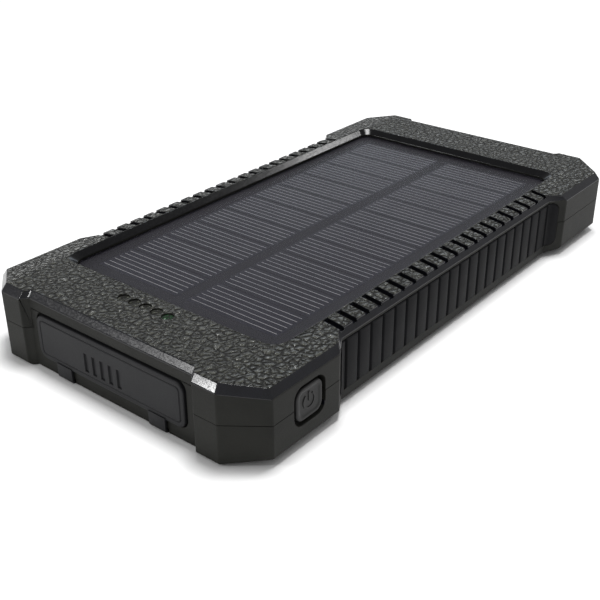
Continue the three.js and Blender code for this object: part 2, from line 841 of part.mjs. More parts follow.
// From the underside of the panel's board down to the main board.
function panelLead(x) {
  const top = boardBottom - seat;
  const foot = board.top + seat;
  const start = -laminateHalf.y + lead.panelInset;
  const end = boardBackY - lead.boardInset;
  return wire([
    [x, start, top],
    [x, start + 0.2, top - 1.5],
    [x + 1, (start + end) / 2, (top + foot) / 2],
    [x, end, foot + 1.5],
    [x, end, foot],
  ]);
}

function screwPiece() {
  const profile = [
    [0, 0],
    [screw.head, 0],
    [screw.head, screw.headHeight * 0.55],
    [screw.shaft, screw.headHeight],
    [screw.shaft, screw.length - 0.6],
    [0.35, screw.length + 0.2],
    [0, screw.length + 0.2],
  ];
  const points = profile.map(([x, y]) => new THREE.Vector2(x, y));
  const turned = toSolid(new THREE.LatheGeometry(points, 20).rotateX(Math.PI / 2));
  const arm = { half: 0.28, reach: 1.2, depth: 0.75 };
  const along = box([-arm.reach, -arm.half, -1], [arm.reach, arm.half, arm.depth]);
  const across = box([-arm.half, -arm.reach, -1], [arm.half, arm.reach, arm.depth]);
  return turned.subtract(along.add(across));
}

// ---- the assembly -------------------------------------------------------------------------

const finishes = {
  shell: { color: 0x54564e, roughness: 0.6, metalness: 0 },
  rubber: { color: 0x33343a, roughness: 0.75, metalness: 0 },
  button: { color: 0x3c3d3f, roughness: 0.65, metalness: 0 },
  clear: { color: 0xb9c4bb, roughness: 0.2, metalness: 0 },
  sheet: { color: 0x2a2a33, roughness: 0.25, metalness: 0 },
  silicon: { color: 0x35343f, roughness: 0.35, metalness: 0.2 },
  circuit: { color: 0x1d5a34, roughness: 0.5, metalness: 0 },
  dark: { color: 0x1b1c1e, roughness: 0.5, metalness: 0 },
  steel: { color: 0xb5b7ba, roughness: 0.3, metalness: 1 },
  pouch: { color: 0xc3c6ca, roughness: 0.4, metalness: 0.6 },
  foam: { color: 0x44464a, roughness: 0.95, metalness: 0 },
  white: { color: 0xe4e2d8, roughness: 0.45, metalness: 0 },
  red: { color: 0xa92420, roughness: 0.5, metalness: 0 },
  black: { color: 0x161616, roughness: 0.5, metalness: 0 },
};

function meshOf(name, shape, finish, place = [0, 0, 0]) {
  const geometry = shape.isBufferGeometry ? shape : toGeometry(shape);
  const mesh = new THREE.Mesh(geometry, new THREE.MeshStandardMaterial(finishes[finish]));
  mesh.name = name;
  mesh.position.set(...place);
  return mesh;
}

function caseGroup() {
  const group = new THREE.Group();
  const block = shellBlock();
  group.add(meshOf("top_shell", topShell(block), "shell"));
  group.add(meshOf("bottom_shell", bottomShell(block), "shell"));
  group.add(meshOf("side_grip_right", sideGrip(), "rubber"));
  group.add(meshOf("side_grip_left", sideGrip().mirror([1, 0, 0]), "rubber"));
  screwPlaces().forEach(([x, y], i) => {
    const place = [x, y, screw.sink + seat * 2 - screw.headHeight];
    group.add(meshOf("case_screw_" + (i + 1), screwPiece(), "steel", place));
  });
  return group;
}

function coverGroup() {
  const group = new THREE.Group();
  group.add(meshOf("port_flap", portFlap(), "rubber"));
  group.add(meshOf("flap_strap_left", flapStrap(), "rubber", [-strap.offset, 0, 0]));
  group.add(meshOf("flap_strap_right", flapStrap(), "rubber", [strap.offset, 0, 0]));
  return group;
}

function buttonGroup() {
  const group = new THREE.Group();
  group.position.set(0, buttonY, body.partingHeight);
  group.add(meshOf("power_button", powerButton(), "button"));
  group.add(meshOf("power_switch_body", switchBody(), "dark"));
  group.add(meshOf("power_switch_plunger", switchPlunger(), "white"));
  return group;
}

function indicatorGroup() {
  const group = new THREE.Group();
  const under = ledBoardTop - ledBoard.thickness;
  const halfX = ledBoard.width / 2;
  const halfY = ledBoard.depth / 2;
  const plate = box([-halfX, lensY() - halfY, under], [halfX, lensY() + halfY, ledBoardTop]);
  group.add(meshOf("indicator_board", plate, "circuit"));
  for (let i = 0; i < lens.count; i += 1) {
    const chip = new THREE.BoxGeometry(led.width, led.length, led.height);
    const height = ledBoardTop + seat + led.height / 2;
    group.add(meshOf("indicator_led_" + (i + 1), chip, "white", [lensX(i), lensY(), height]));
    group.add(meshOf("indicator_lens_" + (i + 1), indicatorLens(), "clear", [lensX(i), lensY(), 0]));
  }
  return group;
}

function panelGroup() {
  const group = new THREE.Group();
  group.add(meshOf("panel_board", laminate(boardBottom, boardTop, 0), "dark"));
  group.add(meshOf("panel_front_sheet", laminate(sheetTop - panel.sheet, sheetTop, 0.2), "sheet"));
  for (let column = 0; column < panel.columns; column += 1) {
    for (let row = 0; row < panel.rows; row += 1) {
      const cell = new THREE.BoxGeometry(cellWidth, cellLength, panel.cell);
      const name = "solar_cell_" + (column * panel.rows + row + 1);
      group.add(meshOf(name, cell, "silicon", cellPlace(column, row)));
    }
  }
  return group;
}

function electronicsGroup() {
  const group = new THREE.Group();
  group.add(meshOf("main_board", mainBoard(), "circuit"));
  group.add(meshOf("usb_socket_left", usbSocket(), "steel", [-usbX, 0, 0]));
  group.add(meshOf("usb_socket_right", usbSocket(), "steel", [usbX, 0, 0]));
  group.add(meshOf("charge_socket", chargeSocket(), "steel"));
  const onBoard = board.top + seat;
  const coilPlace = [coil.x, boardBackY - coil.gap - coil.size / 2, onBoard];
  group.add(meshOf("boost_inductor", inductor(), "dark", coilPlace));
  const chipBody = new THREE.BoxGeometry(chip.width, chip.length, chip.height);
  const chipPlace = [0, boardBackY - chip.gap - chip.length / 2, onBoard + chip.height / 2];
  group.add(meshOf("power_chip", chipBody, "dark", chipPlace));
  group.add(meshOf("battery_pouch", batteryPouch(), "pouch"));
  group.add(meshOf("battery_pad", batteryPad(), "foam"));
  const { width, height, thickness } = cellBoard;
  const strip = new THREE.BoxGeometry(width, thickness, height);
  const place = [0, batteryFrontY - seat - thickness / 2, (batteryTop + batteryLow) / 2];
  group.add(meshOf("cell_protection_board", strip, "circuit", place));
  group.add(meshOf("battery_lead_positive", batteryLead(-7), "red"));
  group.add(meshOf("battery_lead_negative", batteryLead(-10), "black"));
  group.add(meshOf("panel_lead_positive", panelLead(10), "red"));
  group.add(meshOf("panel_lead_negative", panelLead(13), "black"));
  return group;
}

const charger = new THREE.Group();
charger.add(caseGroup());
charger.add(coverGroup());
charger.add(buttonGroup());
charger.add(indicatorGroup());
charger.add(panelGroup());
charger.add(electronicsGroup());

export default charger;
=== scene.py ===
import math
import bmesh
import bpy
from mathutils import Matrix, Vector
from mathutils.bvhtree import BVHTree


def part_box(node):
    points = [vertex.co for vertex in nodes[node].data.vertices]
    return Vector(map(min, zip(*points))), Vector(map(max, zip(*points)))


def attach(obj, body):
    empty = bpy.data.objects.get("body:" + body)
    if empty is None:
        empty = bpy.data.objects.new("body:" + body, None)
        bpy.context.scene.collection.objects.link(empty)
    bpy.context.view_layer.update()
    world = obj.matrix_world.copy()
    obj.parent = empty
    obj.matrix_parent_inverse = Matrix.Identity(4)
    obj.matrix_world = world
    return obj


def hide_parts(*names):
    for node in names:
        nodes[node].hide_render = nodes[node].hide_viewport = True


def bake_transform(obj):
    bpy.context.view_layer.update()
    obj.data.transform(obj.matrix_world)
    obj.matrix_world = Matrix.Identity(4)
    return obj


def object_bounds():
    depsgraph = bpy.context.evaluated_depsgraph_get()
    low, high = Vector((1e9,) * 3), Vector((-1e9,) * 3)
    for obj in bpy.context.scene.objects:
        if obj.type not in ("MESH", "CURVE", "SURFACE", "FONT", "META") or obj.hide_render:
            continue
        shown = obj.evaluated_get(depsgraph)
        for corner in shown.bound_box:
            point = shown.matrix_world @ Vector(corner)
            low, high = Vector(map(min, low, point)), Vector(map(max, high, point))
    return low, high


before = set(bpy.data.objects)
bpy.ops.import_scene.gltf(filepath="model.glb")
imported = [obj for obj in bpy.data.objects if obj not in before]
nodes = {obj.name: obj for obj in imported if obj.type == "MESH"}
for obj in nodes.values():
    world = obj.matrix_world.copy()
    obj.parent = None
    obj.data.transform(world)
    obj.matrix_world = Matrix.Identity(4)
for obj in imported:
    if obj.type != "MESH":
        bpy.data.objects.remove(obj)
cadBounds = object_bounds()
mm = 0.001
print("frame loaded:", len(nodes), "nodes")


class Value:
    # wraps a socket, so that 1 - mask or height * 0.4 adds its own Math nodes
    def __init__(self, paint, socket):
        self.paint = paint
        self.socket = socket

    def math(self, operation, *values):
        return self.paint.add("ShaderNodeMath", {"operation": operation}, list(values))

    def __add__(self, other):
        return self.math("ADD", self, other)

    def __radd__(self, other):
        return self.math("ADD", other, self)

    def __sub__(self, other):
        return self.math("SUBTRACT", self, other)

    def __rsub__(self, other):
        return self.math("SUBTRACT", other, self)

    def __mul__(self, other):
        return self.math("MULTIPLY", self, other)

    def __rmul__(self, other):
        return self.math("MULTIPLY", other, self)


class Paint:
    # one material with its Principled shader, and the only way here to add a node
    def __init__(self, name, **constants):
        self.material = bpy.data.materials.new(name)
        self.material.use_nodes = True
        self.tree = self.material.node_tree
        self.shader = self.tree.nodes["Principled BSDF"]
        for socket, value in constants.items():
            self.shader.inputs[socket.replace("_", " ")].default_value = value
        self.point = self.add("ShaderNodeTexCoord", {}, {}, "Object")

    def plug(self, target, value):
        if isinstance(value, Value):
            self.tree.links.new(value.socket, target)
        elif isinstance(value, tuple) and len(value) == 3 and target.type == "RGBA":
            target.default_value = (*value, 1)
        else:
            target.default_value = value

    def add(self, kind, settings, values, output=0):
        node = self.tree.nodes.new(kind)
        for name, setting in settings.items():
            setattr(node, name, setting)
        pairs = values.items() if isinstance(values, dict) else enumerate(values)
        for key, value in pairs:
            self.plug(node.inputs[key], value)
        return Value(self, node.outputs[output])

    def feed(self, **values):
        for name, value in values.items():
            self.plug(self.shader.inputs[name.replace("_", " ")], value)
        return self.material

    def noise(self, scale, detail, output=0):
        values = {"Vector": self.point, "Scale": scale, "Detail": detail, "Roughness": 0.55}
        return self.add("ShaderNodeTexNoise", {}, values, output)

    def step(self, value, low, high, first=0.0, last=1.0):
        settings = {"interpolation_type": "SMOOTHSTEP"}
        return self.add("ShaderNodeMapRange", settings, [value, low, high, first, last])

    def mix(self, factor, first, second):
        settings = {"data_type": "RGBA"}
        return self.add("ShaderNodeMix", settings, {0: factor, 6: first, 7: second}, 2)

    def bump(self, height, strength, distance):
        values = {"Strength": strength, "Distance": distance, "Height": height}
        return self.add("ShaderNodeBump", {}, values)


def addObject(name, bm, materials, body="case", stands=()):
    mesh = bpy.data.meshes.new(name)
    bm.to_mesh(mesh)
    bm.free()
    piece = bpy.data.objects.new(name, mesh)
    bpy.context.scene.collection.objects.link(piece)
    for material in materials:
        mesh.materials.append(material)
    if body:
        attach(piece, body)
    if stands:
        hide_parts(*stands)
    return piece


def smooth(piece, angle):
    piece.data.shade_smooth()
    piece.data.set_sharp_from_angle(angle=math.radians(angle))


def addBox(bm, low, high):
    size = [b - a for a, b in zip(low, high)]
    middle = [(a + b) / 2 for a, b in zip(low, high)]
    made = bmesh.ops.create_cube(bm, size=1)["verts"]
    bmesh.ops.scale(bm, vec=size, verts=made)
    bmesh.ops.translate(bm, vec=middle, verts=made)
    return made


def edgesOf(verts):
    return list({edge for vert in verts for edge in vert.link_edges})


def bevelEdges(bm, edges, width, segments):
    bmesh.ops.bevel(
        bm, geom=edges, offset=width, offset_type="OFFSET", segments=segments,
        affect="EDGES", profile=0.5, material=-1, clamp_overlap=True,
    )


def edgesAlong(edges, axis):
    # the edges that run along one axis
    found = []
    for edge in edges:
        run = edge.verts[1].co - edge.verts[0].co
        if abs(run[axis]) > 0.999 * run.length:
            found.append(edge)
    return found


def mergedCopy(name):
    # a CAD node's mesh with its loose triangles joined and its flats made whole
    bm = bmesh.new()
    bm.from_mesh(nodes[name].data)
    bmesh.ops.remove_doubles(bm, verts=bm.verts, dist=2e-6)
    bmesh.ops.dissolve_degenerate(bm, dist=1e-6, edges=bm.edges)
    bmesh.ops.dissolve_limit(bm, angle_limit=math.radians(0.7), verts=bm.verts, edges=bm.edges)
    return bm


plastic = {
    "grain": ((0.038, 0.039, 0.032), (0.070, 0.071, 0.060)),
    # painted shade: the near-black colour laid into the grain's creases
    "creaseShade": (0.0010, 0.0010, 0.0009),
    # painted shade: the walls' tones are set much darker than the grain's, as the shade that falls on the
    # walls
    "shadedSatin": ((0.0098, 0.0100, 0.0083), (0.0150, 0.0152, 0.0127)),
    "polish": ((0.0030, 0.0032, 0.0050), (0.0050, 0.0053, 0.0080)),
    # painted shade: the window slopes are a darker copy of the polished plastic, with a weaker highlight
    "slope": ((0.0016, 0.0017, 0.0022), (0.0026, 0.0027, 0.0034)),
    "pebbles": 630,  # the two cell patterns of the grain, in cells per metre
    "folds": 930,
    "foldShape": {"Scale": (1.3, 0.65, 1), "Rotation": (0, 0, 0.6)},
    "wander": (1.1 * mm, 1.1 * mm, 1.1 * mm),  # how far the noise bends both patterns
    "grainHeight": 1.3 * mm,
}


def grainedPlastic(name, tones):
    paint = Paint(name, IOR=1.5, Specular_IOR_Level=0.4)
    warp = paint.noise(520, 2, output=1)
    offset = paint.add("ShaderNodeVectorMath", {"operation": "SUBTRACT"}, [warp, (0.5, 0.5, 0.5)])
    moved = paint.add(
        "ShaderNodeVectorMath", {"operation": "MULTIPLY_ADD"}, [offset, plastic["wander"], paint.point]
    )
    flat = {"feature": "DISTANCE_TO_EDGE", "voronoi_dimensions": "2D"}
    edges = paint.add("ShaderNodeTexVoronoi", flat, {"Vector": moved, "Scale": plastic["pebbles"]})
    tilted = paint.add("ShaderNodeMapping", {}, {"Vector": moved, **plastic["foldShape"]})
    folds = paint.add("ShaderNodeTexVoronoi", flat, {"Vector": tilted, "Scale": plastic["folds"]})
    # the noise in breaks picks pebbles or folds, so that no one pattern shows
    breaks = paint.step(paint.noise(620, 2), 0.42, 0.58)
    dome = paint.step(edges, 0.0, 0.33)
    small = paint.step(folds, 0.0, 0.3)
    large = dome * (0.4 + 0.25 * breaks)
    height = large + small * (0.35 - 0.25 * breaks) + paint.noise(2200, 2) * 0.05
    # painted shade: pits and cuts mark the grain's valleys, which are darkened as if light did not reach
    # into them, and are also made rougher
    pit = paint.step(edges, 0.05, 0.25, 1, 0) * breaks
    cut = paint.step(folds, 0.05, 0.24, 1, 0) * (1 - breaks)
    creaseShadeMask = paint.add("ShaderNodeMath", {"operation": "MAXIMUM"}, [pit, cut])
    light = paint.mix(paint.noise(170, 3), *tones)
    return paint.feed(
        Base_Color=paint.mix(creaseShadeMask * 0.95, light, plastic["creaseShade"]),
        Roughness=0.15 + creaseShadeMask * 0.6,
        Normal=paint.bump(height, 1.0, plastic["grainHeight"]),
    )


def shadedSatinPlastic():
    paint = Paint("shadedSatinPlastic", IOR=1.48, Specular_IOR_Level=0.18)
    fine = paint.noise(3600, 3)
    cloud = paint.noise(90, 3)
    return paint.feed(
        Base_Color=paint.mix(paint.step(cloud, 0.3, 0.7), *plastic["shadedSatin"]),
        Roughness=0.45 + fine * 0.2,
        Normal=paint.bump(fine + cloud * 0.6, 0.3, 0.00006),
    )


def polishedPlastic(name, tones, level):
    paint = Paint(name, IOR=1.5, Specular_IOR_Level=level)
    waves = paint.noise(240, 2)
    dust = paint.noise(2600, 4)
    return paint.feed(
        Base_Color=paint.mix(paint.step(waves, 0.3, 0.7), *tones),
        Roughness=paint.step(dust, 0.35, 0.8, 0.14, 0.28),
        Normal=paint.bump(waves * 0.8 + dust * 0.2, 0.2, 0.0001),
    )


def mouldedRubber(name, low, high, gloss, level):
    paint = Paint(name, IOR=1.45, Specular_IOR_Level=level)
    fine = paint.noise(5200, 3)
    cloud = paint.noise(130, 3)
    return paint.feed(
        Base_Color=paint.mix(paint.step(cloud, 0.3, 0.7), low, high),
        Roughness=gloss + fine * 0.2,
        Normal=paint.bump(fine * 0.5 + cloud, 0.22, 0.00008),
    )


def sheetMaterial():
    paint = Paint("panelSheet", IOR=1.5, Specular_IOR_Level=0.25)
    haze = paint.noise(60, 3)
    speck = paint.noise(2400, 3)
    return paint.feed(
        Base_Color=paint.mix(haze, (0.040, 0.038, 0.050), (0.052, 0.050, 0.062)),
        Roughness=paint.step(speck, 0.3, 0.7, 0.16, 0.24),
        Alpha=paint.step(haze, 0.3, 0.7, 0.1, 0.16),
        Normal=paint.bump(speck, 0.03, 0.00002),
    )


def siliconMaterial():
    paint = Paint("silicon", IOR=1.5, Specular_IOR_Level=0.22)
    crystals = {"Vector": paint.point, "Scale": 260}
    grains = paint.add("ShaderNodeTexVoronoi", {"feature": "F1"}, crystals, "Color")
    grey = paint.add("ShaderNodeRGBToBW", {}, [grains])
    return paint.feed(
        Base_Color=paint.mix(grey, (0.0065, 0.0062, 0.0115), (0.0105, 0.0102, 0.0170)),
        Roughness=0.3 + grey * 0.1,
        Normal=paint.bump(paint.noise(900, 2), 0.1, 0.00005),
    )


def backingMaterial():
    paint = Paint("panelBacking", IOR=1.5, Specular_IOR_Level=0.18)
    fine = paint.noise(2600, 3)
    return paint.feed(
        Base_Color=paint.mix(fine, (0.0115, 0.0112, 0.0135), (0.0160, 0.0157, 0.0180)),
        Roughness=0.45 + fine * 0.15,
        Normal=paint.bump(fine, 0.15, 0.00004),
    )


def metalMaterial(name, low, high, rough, metallic=1.0):
    paint = Paint(name, Metallic=metallic)
    drawn = paint.add("ShaderNodeMapping", {}, {"Vector": paint.point, "Scale": (1, 12, 12)})
    brushed = paint.add("ShaderNodeTexNoise", {}, {"Vector": drawn, "Scale": 900, "Detail": 3})
    return paint.feed(
        Base_Color=paint.mix(brushed, low, high),
        Roughness=rough + brushed * 0.15,
        Normal=paint.bump(brushed, 0.1, 0.00003),
    )


def plainPlastic(name, low, high, gloss=0.4, scale=900):
    paint = Paint(name, IOR=1.48)
    fine = paint.noise(scale, 3)
    return paint.feed(
        Base_Color=paint.mix(fine, low, high),
        Roughness=gloss + fine * 0.15,
        Normal=paint.bump(fine, 0.15, 0.00005),
    )


def boardMaterial():
    paint = Paint("solderResist", IOR=1.5)
    squares = {"feature": "F1", "distance": "CHEBYCHEV"}
    tracks = paint.add("ShaderNodeTexVoronoi", squares, {"Vector": paint.point, "Scale": 420})
    edge = paint.step(tracks, 0.42, 0.5)
    return paint.feed(
        Base_Color=paint.mix(edge, (0.010, 0.075, 0.028), (0.018, 0.13, 0.05)),
        Roughness=0.32 + edge * 0.1,
        Normal=paint.bump(edge, 0.2, 0.00003),
    )


look = {
    "grain": grainedPlastic("grainedPlastic", plastic["grain"]),
    "shadedSatin": shadedSatinPlastic(),
    "polish": polishedPlastic("polishedPlastic", plastic["polish"], 0.5),
    "frameSlopeShaded": polishedPlastic("frameSlopeShaded", plastic["slope"], 0.22),
    "cover": mouldedRubber("coverRubber", (0.0095, 0.0097, 0.0112), (0.0138, 0.0140, 0.0155), 0.42, 0.25),
    "grip": mouldedRubber("gripRubber", (0.0035, 0.0036, 0.0045), (0.0065, 0.0066, 0.0078), 0.42, 0.1),
    "button": mouldedRubber("buttonRubber", (0.0060, 0.0061, 0.0064), (0.0095, 0.0096, 0.0096), 0.34, 0.3),
    "sheet": sheetMaterial(),
    "silicon": siliconMaterial(),
    "backing": backingMaterial(),
    "silver": metalMaterial("silverFinger", (0.40, 0.40, 0.41), (0.52, 0.52, 0.53), 0.45, 0.35),
    "steel": metalMaterial("platedSteel", (0.52, 0.52, 0.53), (0.66, 0.66, 0.67), 0.22),
    "screw": metalMaterial("darkScrew", (0.16, 0.16, 0.165), (0.24, 0.24, 0.25), 0.3),
    "gold": metalMaterial("goldContact", (0.75, 0.52, 0.2), (0.85, 0.62, 0.28), 0.2),
    "foil": metalMaterial("pouchFoil", (0.55, 0.56, 0.58), (0.68, 0.69, 0.71), 0.35),
    "board": boardMaterial(),
    "chip": plainPlastic("chipPlastic", (0.010, 0.010, 0.011), (0.016, 0.016, 0.017)),
    "white": plainPlastic("whitePlastic", (0.62, 0.61, 0.57), (0.72, 0.71, 0.67)),
    "foam": plainPlastic("foam", (0.05, 0.05, 0.053), (0.09, 0.09, 0.095), 0.8, 2200),
    "red": plainPlastic("redWire", (0.36, 0.016, 0.012), (0.46, 0.026, 0.018)),
    "black": plainPlastic("blackWire", (0.010, 0.010, 0.010), (0.018, 0.018, 0.018)),
    # painted light: the lens tones start lighter than the grain's, to offset the shade in the recesses
    # round the lenses
    "lens": grainedPlastic("lensPlasticLightened", ((0.046, 0.048, 0.040), (0.066, 0.068, 0.056))),
    "greenLens": grainedPlastic("greenLens", ((0.030, 0.062, 0.034), (0.040, 0.100, 0.048))),
}
print("materials made:", len(look))

shells = {
    "round": 0.26 * mm,
    "fineShare": 0.42,  # edges of slots and small steps are rounded by this share
    "shortEdge": 1.5 * mm,
    "topZ": 16.25 * mm,  # faces above this that face up carry the grain
    "level": 0.95,  # a face counts as level above this height of its normal
    "steep": 0.15,  # and as a wall below this one
    "slotStart": 30.25 * mm,
    "windowEnd": 55.2 * mm,
    "deepZ": 15.3 * mm,  # the slots reach down to about here
    "partingShare": 0.15,
    "partingLow": 8.8 * mm,
    "partingHigh": 9.0 * mm,
    "sharp": 14,  # degrees between faces that make an edge
}


def exposedFaces(bm, blockedUp):
    # faces from which a straight line outwards meets nothing else of the shell
    tree = BVHTree.FromBMesh(bm)
    found = set()
    for face in bm.faces:
        if face.normal.z * blockedUp > 0.5:
            continue
        start = face.calc_center_median_weighted() + face.normal * 2e-5
        if tree.ray_cast(start, face.normal)[0] is None:
            found.add(face)
    return found


def dressShell(name, newName, blockedUp):
    bm = mergedCopy(name)
    for x in (-shells["slotStart"], shells["slotStart"]):
        # makes each rib between the slots a face of its own
        whole = bm.faces[:] + bm.edges[:] + bm.verts[:]
        bmesh.ops.bisect_plane(bm, geom=whole, plane_co=(x, 0, 0), plane_no=(1, 0, 0), dist=1e-6)
    bm.normal_update()
    exposed = exposedFaces(bm, blockedUp)
    for face in bm.faces:
        middle = face.calc_center_median()
        # painted shade: index 1 takes the walls' darkened tones
        face.material_index = 1  # satin walls and everything inside
        if face in exposed and face.normal.z > shells["level"] and middle.z > shells["topZ"]:
            face.material_index = 0
        elif face in exposed and shells["steep"] < face.normal.z < shells["level"]:
            inWindow = abs(middle.x) < shells["slotStart"] and abs(middle.y) < shells["windowEnd"]
            face.material_index = 3 if inWindow else 2
        elif middle.z > shells["deepZ"] and abs(middle.x) > shells["slotStart"] - 1e-5:
            face.material_index = 2  # floors and walls of the slots
    weights = bm.edges.layers.float.new("bevel_weight_edge")
    for edge in bm.edges:
        if len(edge.link_faces) != 2 or not edge.is_convex:
            continue
        if edge.calc_face_angle(0) < math.radians(shells["sharp"]):
            continue
        shown = [face in exposed for face in edge.link_faces]
        heights = [vert.co.z for vert in edge.verts]
        parting = shells["partingLow"] < min(heights) and max(heights) < shells["partingHigh"]
        if any(shown) and parting:
            edge[weights] = shells["partingShare"]
        elif all(shown):
            edge[weights] = 1 if edge.calc_length() > shells["shortEdge"] else shells["fineShare"]
        elif any(shown):
            edge[weights] = shells["fineShare"]
    finishes = [look[key] for key in ("grain", "shadedSatin", "polish", "frameSlopeShaded")]
    piece = addObject(newName, bm, finishes, "case", [name])
    bevel = piece.modifiers.new("roundEdges", "BEVEL")
    bevel.limit_method = "WEIGHT"
    bevel.width = shells["round"]
    bevel.segments = 3
    bevel.profile = 0.5
    bevel.use_clamp_overlap = False
    smooth(piece, 40)
    weighted = piece.modifiers.new("flatFaces", "WEIGHTED_NORMAL")
    weighted.mode = "FACE_AREA"
    weighted.weight = 100
    weighted.keep_sharp = True
    return piece


upperCase = dressShell("top_shell", "upper_case", -1)
lowerCase = dressShell("bottom_shell", "lower_case", 1)
print("shells dressed:", len(upperCase.data.polygons), len(lowerCase.data.polygons))

carried = {
    "panel_front_sheet": "sheet",
    "panel_board": "backing",
    "main_board": "board",
    "indicator_board": "board",
    "cell_protection_board": "board",
    "usb_socket_left": "steel",
    "usb_socket_right": "steel",
    "charge_socket": "steel",
    "boost_inductor": "chip",
    "power_chip": "chip",
    "power_switch_body": "chip",
    "power_switch_plunger": "white",
    "battery_pouch": "foil",
    "battery_pad": "foam",
    "battery_lead_positive": "red",
    "panel_lead_positive": "red",
    "battery_lead_negative": "black",
    "panel_lead_negative": "black",
}
for name in nodes:
    if name.startswith("solar_cell"):
        carried[name] = "silicon"
    elif name.startswith("case_screw"):
        carried[name] = "screw"
    elif name.startswith("indicator_led"):
        carried[name] = "white"
    elif name.startswith("indicator_lens"):
        carried[name] = "greenLens" if name.endswith("5") else "lens"
for name, key in carried.items():
    nodes[name].data.materials.clear()
    nodes[name].data.materials.append(look[key])
print("nodes painted:", len(carried))

fingers = {"count": 6, "pitch": 1.5 * mm, "width": 0.11 * mm, "margin": 0.55 * mm, "height": 0.025 * mm}


def addFingers():
    bm = bmesh.new()
    for name in sorted(nodes):
        if not name.startswith("solar_cell"):
            continue
        low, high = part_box(name)
        middle = (low.y + high.y) / 2
        for i in range(fingers["count"]):
            y = middle + (i - (fingers["count"] - 1) / 2) * fingers["pitch"]
            half = fingers["width"] / 2
            addBox(
                bm,
                (low.x + fingers["margin"], y - half, high.z),
                (high.x - fingers["margin"], y + half, high.z + fingers["height"]),
            )
    addObject("silver_fingers", bm, [look["silver"]], "case")


filler = {
    "gap": 0.02 * mm,
    "sunk": 0.02 * mm,
    "margin": 3.6 * mm,  # how far the strips run out past the cells
}


def addFiller():
    # strips of dark resin that level the spaces round the cells
    bm = bmesh.new()
    cells = [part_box(name) for name in nodes if name.startswith("solar_cell")]
    xs = sorted({round(value.x, 6) for pair in cells for value in pair})
    ys = sorted({round(value.y, 6) for pair in cells for value in pair})
    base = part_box("panel_board")[1].z
    top = cells[0][1].z - filler["sunk"]
    gap = filler["gap"]
    endX = xs[-1] + filler["margin"]
    endY = ys[-1] + filler["margin"]
    columns = [(-endX, xs[0] - gap), (xs[1] + gap, xs[2] - gap), (xs[3] + gap, endX)]
    for left, right in columns:
        addBox(bm, (left, -endY, base), (right, endY, top))
    between = [(ys[i] + gap, ys[i + 1] - gap) for i in range(1, len(ys) - 1, 2)]
    rows = [(-endY, ys[0] - gap), *between, (ys[-1] + gap, endY)]
    inner = [(xs[0] - gap / 2, xs[1] + gap / 2), (xs[2] - gap / 2, xs[3] + gap / 2)]
    for low, high in rows:
        for left, right in inner:
            addBox(bm, (left, low, base), (right, high, top))
    addObject("panel_filler", bm, [look["backing"]], "case")


addFingers()
addFiller()
print("panel done")

gripEdges = {"round": 0.16 * mm, "sharp": 25}


def addGrip(name):
    bm = mergedCopy(name)
    sharp = math.radians(gripEdges["sharp"])
    edges = [edge for edge in bm.edges if edge.is_convex and edge.calc_face_angle(0) > sharp]
    bevelEdges(bm, edges, gripEdges["round"], 2)
    side = name.rsplit("_", 1)[1]
    smooth(addObject("grip_" + side, bm, [look["grip"]], "case", [name]), 40)


addGrip("side_grip_left")
addGrip("side_grip_right")
print("grips done")

cover = {
    "radius": 2.0 * mm,
    "edge": 0.28 * mm,
    "bottom": 3.1 * mm,
    "setback": 0.2 * mm,  # behind the front of the CAD cover, which the straps reach
    "thickness": 1.6 * mm,
    "rim": 0.62 * mm,  # flat band outside the groove
    "groove": 0.22 * mm,
    "grooveDepth": 0.2 * mm,
    "bars": 5,
    "barPitch": 2.35 * mm,
    "barWidth": 1.15 * mm,
    "barLow": 4.9 * mm,
    "barHigh": 9.1 * mm,
    "barDepth": 0.32 * mm,
    "barSlope": 0.16 * mm,
    "barMiddle": -1.4 * mm,
    # the middle and size of each plug along X and Z, in mm
    "plugs": ((-12.2, 8.65, 11.9, 4.35), (12.2, 8.65, 11.9, 4.35), (0, 7.05, 5.5, 1.0)),
    "plugDepth": 0.8 * mm,
    "plugEdge": 0.3 * mm,
    "plugRoot": 0.1 * mm,
}


def addCover():
    low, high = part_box("port_flap")
    front = low.y + cover["setback"]
    back = front + cover["thickness"]
    bm = bmesh.new()
    plate = addBox(bm, (low.x, front, cover["bottom"]), (high.x, back, high.z))
    bevelEdges(bm, edgesAlong(edgesOf(plate), 1), cover["radius"], 6)
    bm.normal_update()
    face = min(bm.faces, key=lambda item: item.normal.y)
    bevelEdges(bm, list(face.edges), cover["edge"], 3)
    bm.normal_update()
    face = min(bm.faces, key=lambda item: (round(item.normal.y, 3), -item.calc_area()))
    groove, depth = cover["groove"], cover["grooveDepth"]
    for width, rise in ((cover["rim"], 0), (groove, -depth), (groove, depth)):
        bmesh.ops.inset_region(bm, faces=[face], thickness=width, depth=rise, use_even_offset=True)
    addBars(bm, face)
    for x, z, width, height in cover["plugs"]:
        plug = addBox(
            bm,
            ((x - width / 2) * mm, back - cover["plugRoot"], (z - height / 2) * mm),
            ((x + width / 2) * mm, back + cover["plugDepth"], (z + height / 2) * mm),
        )
        bevelEdges(bm, edgesOf(plug), cover["plugEdge"], 2)
    piece = addObject("cover_plate", bm, [look["cover"]], "cover", ["port_flap"])
    smooth(piece, 40)


